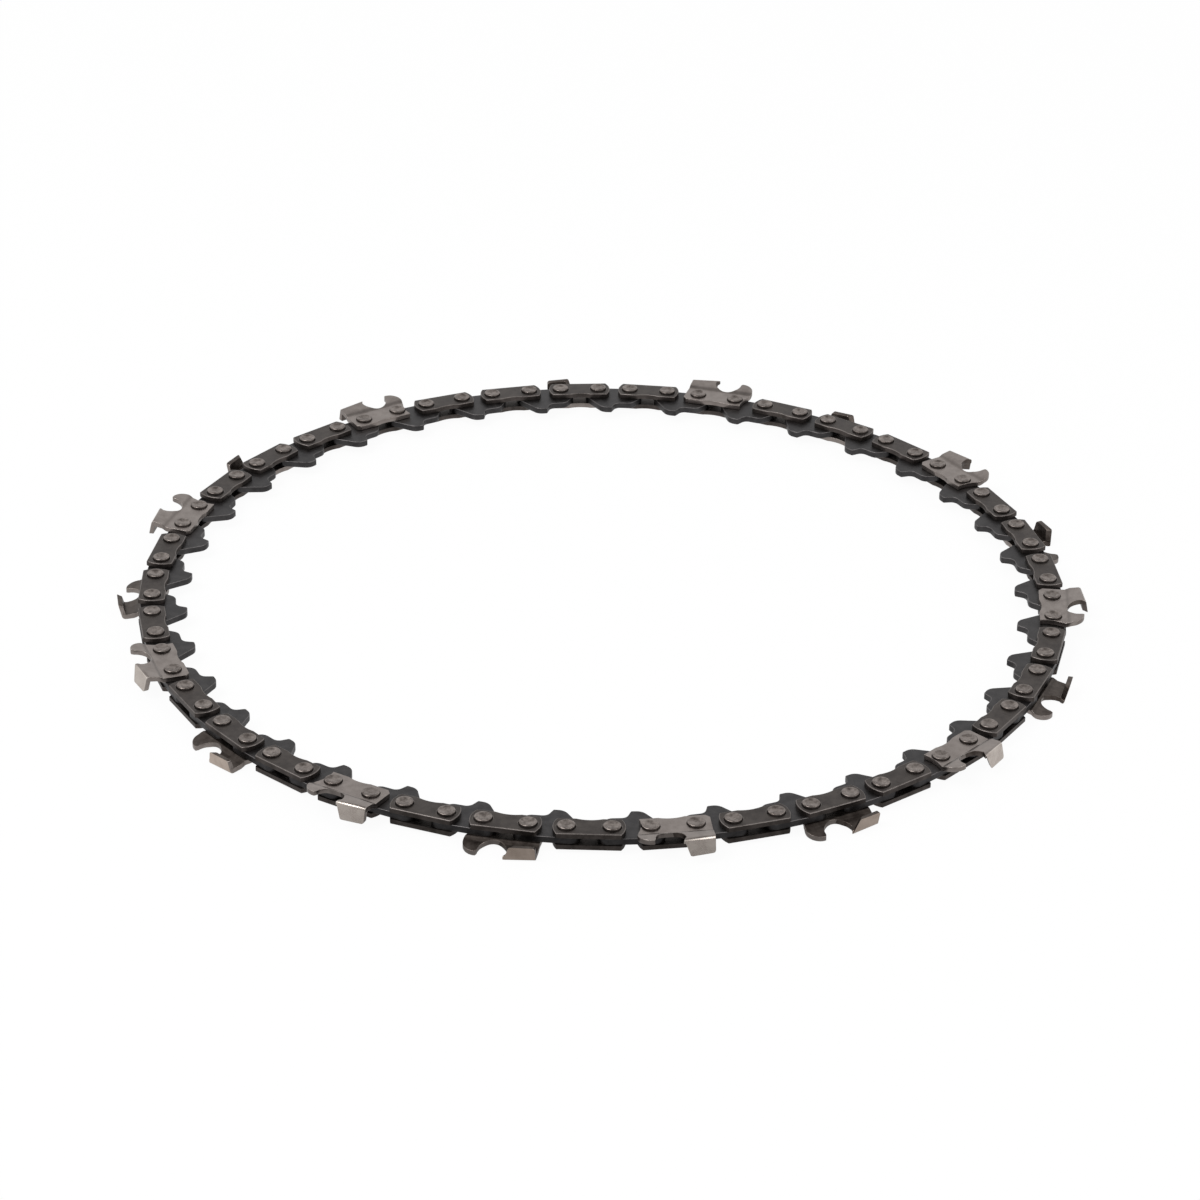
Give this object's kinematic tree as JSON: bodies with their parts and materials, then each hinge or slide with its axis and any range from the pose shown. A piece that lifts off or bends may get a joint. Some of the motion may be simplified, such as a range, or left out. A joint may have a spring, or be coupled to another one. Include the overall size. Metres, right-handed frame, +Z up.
{
  "type": "chainsaw chain loop",
  "caption": "Closed loop of chainsaw chain lying flat: tanged drive links between riveted side links, with right-hand and left-hand cutters in turn around the outside.",
  "frame": {"origin": "centre of the round loop, on the surface that it lies on", "axes": "+Z up, square to the flat of the loop; seen from above the chain runs clockwise, with the joining place at the rear left"},
  "size_m": [0.1614, 0.1603, 0.0044],
  "materials": {
    "blued_links": "dark blued",
    "cutters": "satin, plated"
  },
  "bodies": {
    "link_01": {"chain_link_01": "blued_links"},
    "link_02": {"chain_link_02": "blued_links", "right_cutter_02": "cutters"},
    "link_03": {"chain_link_03": "blued_links"},
    "link_04": {"chain_link_04": "blued_links", "left_cutter_04": "cutters"},
    "link_05": {"chain_link_05": "blued_links"},
    "link_06": {"chain_link_06": "blued_links", "right_cutter_06": "cutters"},
    "link_07": {"chain_link_07": "blued_links"},
    "link_08": {"chain_link_08": "blued_links", "left_cutter_08": "cutters"},
    "link_09": {"chain_link_09": "blued_links"},
    "link_10": {"chain_link_10": "blued_links", "right_cutter_10": "cutters"},
    "link_11": {"chain_link_11": "blued_links"},
    "link_12": {"chain_link_12": "blued_links", "left_cutter_12": "cutters"},
    "link_13": {"chain_link_13": "blued_links"},
    "link_14": {"chain_link_14": "blued_links", "right_cutter_14": "cutters"},
    "link_15": {"chain_link_15": "blued_links"},
    "link_16": {"chain_link_16": "blued_links", "left_cutter_16": "cutters"},
    "link_17": {"chain_link_17": "blued_links"},
    "link_18": {"chain_link_18": "blued_links", "right_cutter_18": "cutters"},
    "link_19": {"chain_link_19": "blued_links"},
    "link_20": {"chain_link_20": "blued_links", "left_cutter_20": "cutters"},
    "link_21": {"chain_link_21": "blued_links"},
    "link_22": {"chain_link_22": "blued_links", "right_cutter_22": "cutters"},
    "link_23": {"chain_link_23": "blued_links"},
    "link_24": {"chain_link_24": "blued_links", "left_cutter_24": "cutters"},
    "link_25": {"chain_link_25": "blued_links"},
    "link_26": {"chain_link_26": "blued_links", "right_cutter_26": "cutters"},
    "link_27": {"chain_link_27": "blued_links"},
    "link_28": {"chain_link_28": "blued_links", "left_cutter_28": "cutters"},
    "link_29": {"chain_link_29": "blued_links"},
    "link_30": {"chain_link_30": "blued_links", "right_cutter_30": "cutters"},
    "link_31": {"chain_link_31": "blued_links"},
    "link_32": {"chain_link_32": "blued_links", "left_cutter_32": "cutters"},
    "link_33": {"chain_link_33": "blued_links"},
    "link_34": {"chain_link_34": "blued_links", "right_cutter_34": "cutters"},
    "link_35": {"chain_link_35": "blued_links"},
    "link_36": {"chain_link_36": "blued_links", "left_cutter_36": "cutters"},
    "link_37": {"chain_link_37": "blued_links"}
  },
  "joints": [
    {"name": "pivot_20", "type": "hinge", "parent": "link_19", "child": "link_20", "pos_m": [0.032, -0.06762, 0.00218], "axis": [0, 0, 1], "range_deg": [-9, 9]},
    {"name": "pivot_21", "type": "hinge", "parent": "link_20", "child": "link_21", "pos_m": [0.04296, -0.06124, 0.00218], "axis": [0, 0, 1], "range_deg": [-7.98, 7.98]},
    {"name": "pivot_22", "type": "hinge", "parent": "link_21", "child": "link_22", "pos_m": [0.0527, -0.0531, 0.00218], "axis": [0, 0, 1], "range_deg": [-6.04, 6.04]},
    {"name": "pivot_23", "type": "hinge", "parent": "link_22", "child": "link_23", "pos_m": [0.06091, -0.04343, 0.00218], "axis": [0, 0, 1], "range_deg": [-3.42, 3.42]},
    {"name": "pivot_24", "type": "hinge", "parent": "link_23", "child": "link_24", "pos_m": [0.06738, -0.03251, 0.00218], "axis": [0, 0, 1], "range_deg": [-0.398, 0.398]},
    {"name": "pivot_25", "type": "hinge", "parent": "link_24", "child": "link_25", "pos_m": [0.0719, -0.02066, 0.00218], "axis": [0, 0, 1], "range_deg": [-2.68, 2.68]},
    {"name": "pivot_26", "type": "hinge", "parent": "link_25", "child": "link_26", "pos_m": [0.07436, -0.00821, 0.00218], "axis": [0, 0, 1], "range_deg": [-5.44, 5.44]},
    {"name": "pivot_27", "type": "hinge", "parent": "link_26", "child": "link_27", "pos_m": [0.07468, 0.00448, 0.00218], "axis": [0, 0, 1], "range_deg": [-7.58, 7.58]},
    {"name": "pivot_28", "type": "hinge", "parent": "link_27", "child": "link_28", "pos_m": [0.07285, 0.01703, 0.00218], "axis": [0, 0, 1], "range_deg": [-8.85, 8.85]},
    {"name": "pivot_29", "type": "hinge", "parent": "link_28", "child": "link_29", "pos_m": [0.06892, 0.0291, 0.00218], "axis": [0, 0, 1], "range_deg": [-9.11, 9.11]},
    {"name": "pivot_30", "type": "hinge", "parent": "link_29", "child": "link_30", "pos_m": [0.06301, 0.04033, 0.00218], "axis": [0, 0, 1], "range_deg": [-8.33, 8.33]},
    {"name": "pivot_31", "type": "hinge", "parent": "link_30", "child": "link_31", "pos_m": [0.05529, 0.0504, 0.00218], "axis": [0, 0, 1], "range_deg": [-6.6, 6.6]},
    {"name": "pivot_32", "type": "hinge", "parent": "link_31", "child": "link_32", "pos_m": [0.04598, 0.05901, 0.00218], "axis": [0, 0, 1], "range_deg": [-4.12, 4.12]},
    {"name": "pivot_33", "type": "hinge", "parent": "link_32", "child": "link_33", "pos_m": [0.03534, 0.06594, 0.00218], "axis": [0, 0, 1], "range_deg": [-1.17, 1.17]},
    {"name": "pivot_34", "type": "hinge", "parent": "link_33", "child": "link_34", "pos_m": [0.02369, 0.07096, 0.00218], "axis": [0, 0, 1], "range_deg": [-1.93, 1.93]},
    {"name": "pivot_35", "type": "hinge", "parent": "link_34", "child": "link_35", "pos_m": [0.01136, 0.07394, 0.00218], "axis": [0, 0, 1], "range_deg": [-4.8, 4.8]},
    {"name": "pivot_36", "type": "hinge", "parent": "link_35", "child": "link_36", "pos_m": [-0.0013, 0.0748, 0.00218], "axis": [0, 0, 1], "range_deg": [-7.12, 7.12]},
    {"name": "pivot_37", "type": "hinge", "parent": "link_36", "child": "link_37", "pos_m": [-0.01392, 0.0735, 0.00218], "axis": [0, 0, 1], "range_deg": [-8.62, 8.62]},
    {"name": "pivot_19", "type": "hinge", "parent": "link_19", "child": "link_18", "pos_m": [0.02011, -0.07206, 0.00218], "axis": [0, 0, -1], "range_deg": [-9.01, 9.01]},
    {"name": "pivot_18", "type": "hinge", "parent": "link_18", "child": "link_17", "pos_m": [0.00764, -0.07442, 0.00218], "axis": [0, 0, -1], "range_deg": [-7.98, 7.98]},
    {"name": "pivot_17", "type": "hinge", "parent": "link_17", "child": "link_16", "pos_m": [-0.00505, -0.07464, 0.00218], "axis": [0, 0, -1], "range_deg": [-6.04, 6.04]},
    {"name": "pivot_16", "type": "hinge", "parent": "link_16", "child": "link_15", "pos_m": [-0.01759, -0.07271, 0.00218], "axis": [0, 0, -1], "range_deg": [-3.42, 3.42]},
    {"name": "pivot_15", "type": "hinge", "parent": "link_15", "child": "link_14", "pos_m": [-0.02962, -0.06869, 0.00218], "axis": [0, 0, -1], "range_deg": [-0.398, 0.398]},
    {"name": "pivot_14", "type": "hinge", "parent": "link_14", "child": "link_13", "pos_m": [-0.04081, -0.0627, 0.00218], "axis": [0, 0, -1], "range_deg": [-2.68, 2.68]},
    {"name": "pivot_13", "type": "hinge", "parent": "link_13", "child": "link_12", "pos_m": [-0.05082, -0.0549, 0.00218], "axis": [0, 0, -1], "range_deg": [-5.44, 5.44]},
    {"name": "pivot_12", "type": "hinge", "parent": "link_12", "child": "link_11", "pos_m": [-0.05936, -0.04552, 0.00218], "axis": [0, 0, -1], "range_deg": [-7.58, 7.58]},
    {"name": "pivot_11", "type": "hinge", "parent": "link_11", "child": "link_10", "pos_m": [-0.0662, -0.03484, 0.00218], "axis": [0, 0, -1], "range_deg": [-8.85, 8.85]},
    {"name": "pivot_10", "type": "hinge", "parent": "link_10", "child": "link_09", "pos_m": [-0.07114, -0.02315, 0.00218], "axis": [0, 0, -1], "range_deg": [-9.11, 9.11]},
    {"name": "pivot_09", "type": "hinge", "parent": "link_09", "child": "link_08", "pos_m": [-0.07403, -0.01079, 0.00218], "axis": [0, 0, -1], "range_deg": [-8.33, 8.33]},
    {"name": "pivot_08", "type": "hinge", "parent": "link_08", "child": "link_07", "pos_m": [-0.07479, 0.00187, 0.00218], "axis": [0, 0, -1], "range_deg": [-6.6, 6.6]},
    {"name": "pivot_07", "type": "hinge", "parent": "link_07", "child": "link_06", "pos_m": [-0.07339, 0.01449, 0.00218], "axis": [0, 0, -1], "range_deg": [-4.12, 4.12]},
    {"name": "pivot_06", "type": "hinge", "parent": "link_06", "child": "link_05", "pos_m": [-0.06989, 0.02668, 0.00218], "axis": [0, 0, -1], "range_deg": [-1.17, 1.17]},
    {"name": "pivot_05", "type": "hinge", "parent": "link_05", "child": "link_04", "pos_m": [-0.06438, 0.03811, 0.00218], "axis": [0, 0, -1], "range_deg": [-1.93, 1.93]},
    {"name": "pivot_04", "type": "hinge", "parent": "link_04", "child": "link_03", "pos_m": [-0.05701, 0.04844, 0.00218], "axis": [0, 0, -1], "range_deg": [-4.8, 4.8]},
    {"name": "pivot_03", "type": "hinge", "parent": "link_03", "child": "link_02", "pos_m": [-0.048, 0.05738, 0.00218], "axis": [0, 0, -1], "range_deg": [-7.12, 7.12]},
    {"name": "pivot_02", "type": "hinge", "parent": "link_02", "child": "link_01", "pos_m": [-0.03762, 0.06467, 0.00218], "axis": [0, 0, -1], "range_deg": [-8.62, 8.62]}
  ],
  "couplings": [
    {"joint": "pivot_21", "follows": "pivot_20", "ratio": 0.88575},
    {"joint": "pivot_22", "follows": "pivot_20", "ratio": 0.67032},
    {"joint": "pivot_23", "follows": "pivot_20", "ratio": 0.3783},
    {"joint": "pivot_24", "follows": "pivot_20", "ratio": 0.043061},
    {"joint": "pivot_25", "follows": "pivot_20", "ratio": -0.2971},
    {"joint": "pivot_26", "follows": "pivot_20", "ratio": -0.60331},
    {"joint": "pivot_27", "follows": "pivot_20", "ratio": -0.8406},
    {"joint": "pivot_28", "follows": "pivot_20", "ratio": -0.98186},
    {"joint": "pivot_29", "follows": "pivot_20", "ratio": -1.0109},
    {"joint": "pivot_30", "follows": "pivot_20", "ratio": -0.92453},
    {"joint": "pivot_31", "follows": "pivot_20", "ratio": -0.73249},
    {"joint": "pivot_32", "follows": "pivot_20", "ratio": -0.45677},
    {"joint": "pivot_33", "follows": "pivot_20", "ratio": -0.12887},
    {"joint": "pivot_34", "follows": "pivot_20", "ratio": 0.21375},
    {"joint": "pivot_35", "follows": "pivot_20", "ratio": 0.53196},
    {"joint": "pivot_36", "follows": "pivot_20", "ratio": 0.78939},
    {"joint": "pivot_37", "follows": "pivot_20", "ratio": 0.95664},
    {"joint": "pivot_19", "follows": "pivot_20", "ratio": 1},
    {"joint": "pivot_18", "follows": "pivot_20", "ratio": 0.88575},
    {"joint": "pivot_17", "follows": "pivot_20", "ratio": 0.67032},
    {"joint": "pivot_16", "follows": "pivot_20", "ratio": 0.3783},
    {"joint": "pivot_15", "follows": "pivot_20", "ratio": 0.043061},
    {"joint": "pivot_14", "follows": "pivot_20", "ratio": -0.2971},
    {"joint": "pivot_13", "follows": "pivot_20", "ratio": -0.60331},
    {"joint": "pivot_12", "follows": "pivot_20", "ratio": -0.8406},
    {"joint": "pivot_11", "follows": "pivot_20", "ratio": -0.98186},
    {"joint": "pivot_10", "follows": "pivot_20", "ratio": -1.0109},
    {"joint": "pivot_09", "follows": "pivot_20", "ratio": -0.92453},
    {"joint": "pivot_08", "follows": "pivot_20", "ratio": -0.73249},
    {"joint": "pivot_07", "follows": "pivot_20", "ratio": -0.45677},
    {"joint": "pivot_06", "follows": "pivot_20", "ratio": -0.12887},
    {"joint": "pivot_05", "follows": "pivot_20", "ratio": 0.21375},
    {"joint": "pivot_04", "follows": "pivot_20", "ratio": 0.53196},
    {"joint": "pivot_03", "follows": "pivot_20", "ratio": 0.78939},
    {"joint": "pivot_02", "follows": "pivot_20", "ratio": 0.95664}
  ]
}
